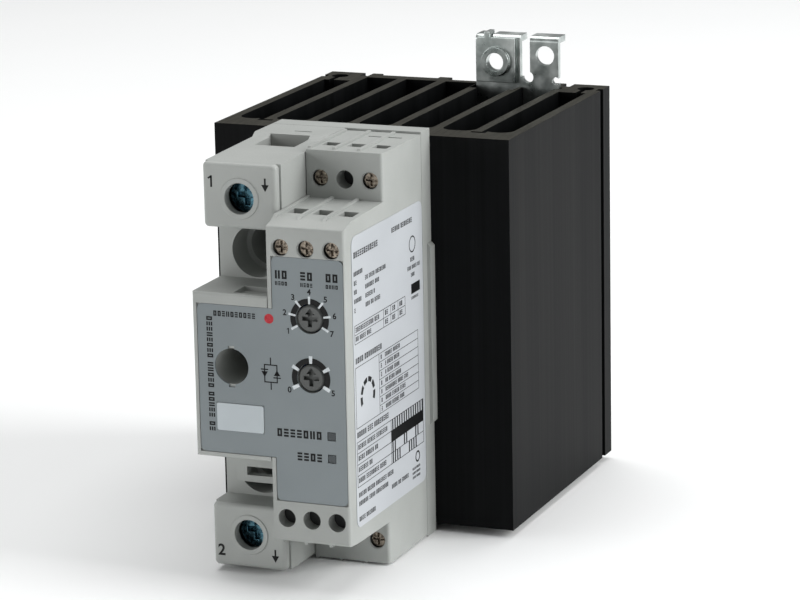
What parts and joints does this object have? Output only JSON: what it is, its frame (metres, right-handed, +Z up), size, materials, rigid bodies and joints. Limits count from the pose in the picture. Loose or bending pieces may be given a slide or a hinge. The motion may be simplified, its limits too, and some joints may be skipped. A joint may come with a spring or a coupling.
{
  "type": "solid state relay",
  "caption": "Single-phase solid state relay: light grey terminal module with two dials on a black finned heat sink, with a spring latch for a 35 mm rail.",
  "frame": {"origin": "bottom centre of the whole relay's box, under the space between module and fins", "axes": "+Z up, +Y from the terminal face back to the mounting rail, +X to the right seen from the front"},
  "size_m": [0.07, 0.1194, 0.1027],
  "materials": {
    "black_anodised": "black anodised extrusion with sawn ends",
    "zinc_steel": "bright zinc plated sheet steel",
    "spring_steel": "drawn spring wire",
    "housing": "light grey moulded polyamide, fine texture",
    "label_grey": "printed mid grey overlay film",
    "tag_white": "white marker tag",
    "label_white": "white printed adhesive label",
    "clear_plastic": "smoked light pipe",
    "dial_plastic": "dark grey moulded dial",
    "component_blue": "blue component case",
    "component_black": "black moulded component case",
    "board_green": "green solder mask",
    "tinned_copper": "tinned copper strip",
    "copper": "copper plate",
    "thermal_film": "soft thermal interface film",
    "alumina": "fired alumina",
    "silicon": "silicon chip",
    "blue_zinc": "blue passivated zinc steel",
    "nickel_steel": "nickel plated steel",
    "nickel_brass": "dull nickel plated screw"
  },
  "bodies": {
    "relay_body": {"heat_sink": "black_anodised", "rail_hook_plate": "zinc_steel", "rail_hook_screws": "zinc_steel", "latch_spring": "spring_steel", "base_frame": "housing", "power_cover": "housing", "line_terminal_cap": "housing", "load_terminal_cap": "housing", "control_cover": "housing", "front_label": "label_grey", "marker_tag": "tag_white", "rating_label": "label_white", "status_windows": "clear_plastic", "status_lamps": "clear_plastic", "mode_pot": "component_blue", "ramp_pot": "component_blue", "control_board": "board_green", "gate_drivers": "component_black", "control_chip": "component_black", "board_capacitors": "component_black", "surge_absorber": "component_blue", "gate_pins": "tinned_copper", "thermal_pad": "thermal_film", "base_plate": "copper", "ceramic_substrate": "alumina", "thyristor_chips": "silicon", "module_screws": "zinc_steel", "line_busbar": "tinned_copper", "load_busbar": "tinned_copper", "control_contacts": "tinned_copper"},
    "latch": {"rail_latch": "zinc_steel", "earth_clip_nut": "zinc_steel"},
    "mode_knob": {"mode_dial": "dial_plastic"},
    "ramp_knob": {"ramp_dial": "dial_plastic"},
    "line_screw_body": {"line_screw": "blue_zinc"},
    "line_cage_body": {"line_cage": "nickel_steel"},
    "load_screw_body": {"load_screw": "blue_zinc"},
    "load_cage_body": {"load_cage": "nickel_steel"},
    "input_1_screw_body": {"input_1_screw": "nickel_brass"},
    "input_1_cage_body": {"input_1_cage": "nickel_steel"},
    "input_2_screw_body": {"input_2_screw": "nickel_brass"},
    "input_2_cage_body": {"input_2_cage": "nickel_steel"},
    "input_3_screw_body": {"input_3_screw": "nickel_brass"},
    "input_3_cage_body": {"input_3_cage": "nickel_steel"},
    "setpoint_screw_body": {"setpoint_screw": "nickel_brass"},
    "setpoint_cage_body": {"setpoint_cage": "nickel_steel"},
    "ground_screw_body": {"ground_screw": "nickel_brass"},
    "ground_cage_body": {"ground_cage": "nickel_steel"},
    "supply_1_screw_body": {"supply_1_screw": "nickel_brass"},
    "supply_1_cage_body": {"supply_1_cage": "nickel_steel"},
    "supply_2_screw_body": {"supply_2_screw": "nickel_brass"},
    "supply_2_cage_body": {"supply_2_cage": "nickel_steel"}
  },
  "joints": [
    {"name": "latch_slide", "type": "slide", "parent": "relay_body", "child": "latch", "axis": [0, 0, -1], "range_m": [0, 0.005], "stiffness_N_per_m": 800, "springref_m": -0.004, "deforming": ["latch_spring"]},
    {"name": "mode_turn", "type": "hinge", "parent": "relay_body", "child": "mode_knob", "pos_m": [0.0085, -0.0567, 0.0597], "axis": [0, 1, 0], "range_deg": [-135, 135]},
    {"name": "ramp_turn", "type": "hinge", "parent": "relay_body", "child": "ramp_knob", "pos_m": [0.0085, -0.0567, 0.0469], "axis": [0, 1, 0], "range_deg": [-120, 120]},
    {"name": "line_screw_turn", "type": "hinge", "parent": "relay_body", "child": "line_screw_body", "pos_m": [-0.00995, -0.0457, 0.0828], "axis": [0, 1, 0], "range_deg": [0, 2520]},
    {"name": "line_cage_slide", "type": "slide", "parent": "relay_body", "child": "line_cage_body", "axis": [0, -1, 0], "range_m": [0, 0.0056]},
    {"name": "load_screw_turn", "type": "hinge", "parent": "relay_body", "child": "load_screw_body", "pos_m": [-0.00995, -0.0457, 0.0088], "axis": [0, 1, 0], "range_deg": [0, 2520]},
    {"name": "load_cage_slide", "type": "slide", "parent": "relay_body", "child": "load_cage_body", "axis": [0, -1, 0], "range_m": [0, 0.0056]},
    {"name": "input_1_screw_turn", "type": "hinge", "parent": "relay_body", "child": "input_1_screw_body", "pos_m": [0.0022, -0.0577, 0.0746], "axis": [0, 1, 0], "range_deg": [0, 1800]},
    {"name": "input_1_cage_slide", "type": "slide", "parent": "relay_body", "child": "input_1_cage_body", "axis": [0, -1, 0], "range_m": [0, 0.00225]},
    {"name": "input_2_screw_turn", "type": "hinge", "parent": "relay_body", "child": "input_2_screw_body", "pos_m": [0.00795, -0.0577, 0.0746], "axis": [0, 1, 0], "range_deg": [0, 1800]},
    {"name": "input_2_cage_slide", "type": "slide", "parent": "relay_body", "child": "input_2_cage_body", "axis": [0, -1, 0], "range_m": [0, 0.00225]},
    {"name": "input_3_screw_turn", "type": "hinge", "parent": "relay_body", "child": "input_3_screw_body", "pos_m": [0.0137, -0.0577, 0.0746], "axis": [0, 1, 0], "range_deg": [0, 1800]},
    {"name": "input_3_cage_slide", "type": "slide", "parent": "relay_body", "child": "input_3_cage_body", "axis": [0, -1, 0], "range_m": [0, 0.00225]},
    {"name": "setpoint_screw_turn", "type": "hinge", "parent": "relay_body", "child": "setpoint_screw_body", "pos_m": [0.0022, -0.0359, 0.08505], "axis": [0, 1, 0], "range_deg": [0, 1080]},
    {"name": "setpoint_cage_slide", "type": "slide", "parent": "relay_body", "child": "setpoint_cage_body", "axis": [0, -1, 0], "range_m": [0, 0.00135]},
    {"name": "ground_screw_turn", "type": "hinge", "parent": "relay_body", "child": "ground_screw_body", "pos_m": [0.0137, -0.0359, 0.08505], "axis": [0, 1, 0], "range_deg": [0, 1080]},
    {"name": "ground_cage_slide", "type": "slide", "parent": "relay_body", "child": "ground_cage_body", "axis": [0, -1, 0], "range_m": [0, 0.00135]},
    {"name": "supply_1_screw_turn", "type": "hinge", "parent": "relay_body", "child": "supply_1_screw_body", "pos_m": [0.00795, -0.0361, 0.0056], "axis": [0, 1, 0], "range_deg": [0, 1080]},
    {"name": "supply_1_cage_slide", "type": "slide", "parent": "relay_body", "child": "supply_1_cage_body", "axis": [0, -1, 0], "range_m": [0, 0.00135]},
    {"name": "supply_2_screw_turn", "type": "hinge", "parent": "relay_body", "child": "supply_2_screw_body", "pos_m": [0.0137, -0.0361, 0.0056], "axis": [0, 1, 0], "range_deg": [0, 1080]},
    {"name": "supply_2_cage_slide", "type": "slide", "parent": "relay_body", "child": "supply_2_cage_body", "axis": [0, -1, 0], "range_m": [0, 0.00135]}
  ],
  "couplings": [
    {"joint": "line_screw_turn", "follows": "line_cage_slide", "rad_per_m": 7854},
    {"joint": "load_screw_turn", "follows": "load_cage_slide", "rad_per_m": 7854},
    {"joint": "input_1_screw_turn", "follows": "input_1_cage_slide", "rad_per_m": 13963},
    {"joint": "input_2_screw_turn", "follows": "input_2_cage_slide", "rad_per_m": 13963},
    {"joint": "input_3_screw_turn", "follows": "input_3_cage_slide", "rad_per_m": 13963},
    {"joint": "setpoint_screw_turn", "follows": "setpoint_cage_slide", "rad_per_m": 13963},
    {"joint": "ground_screw_turn", "follows": "ground_cage_slide", "rad_per_m": 13963},
    {"joint": "supply_1_screw_turn", "follows": "supply_1_cage_slide", "rad_per_m": 13963},
    {"joint": "supply_2_screw_turn", "follows": "supply_2_cage_slide", "rad_per_m": 13963}
  ]
}
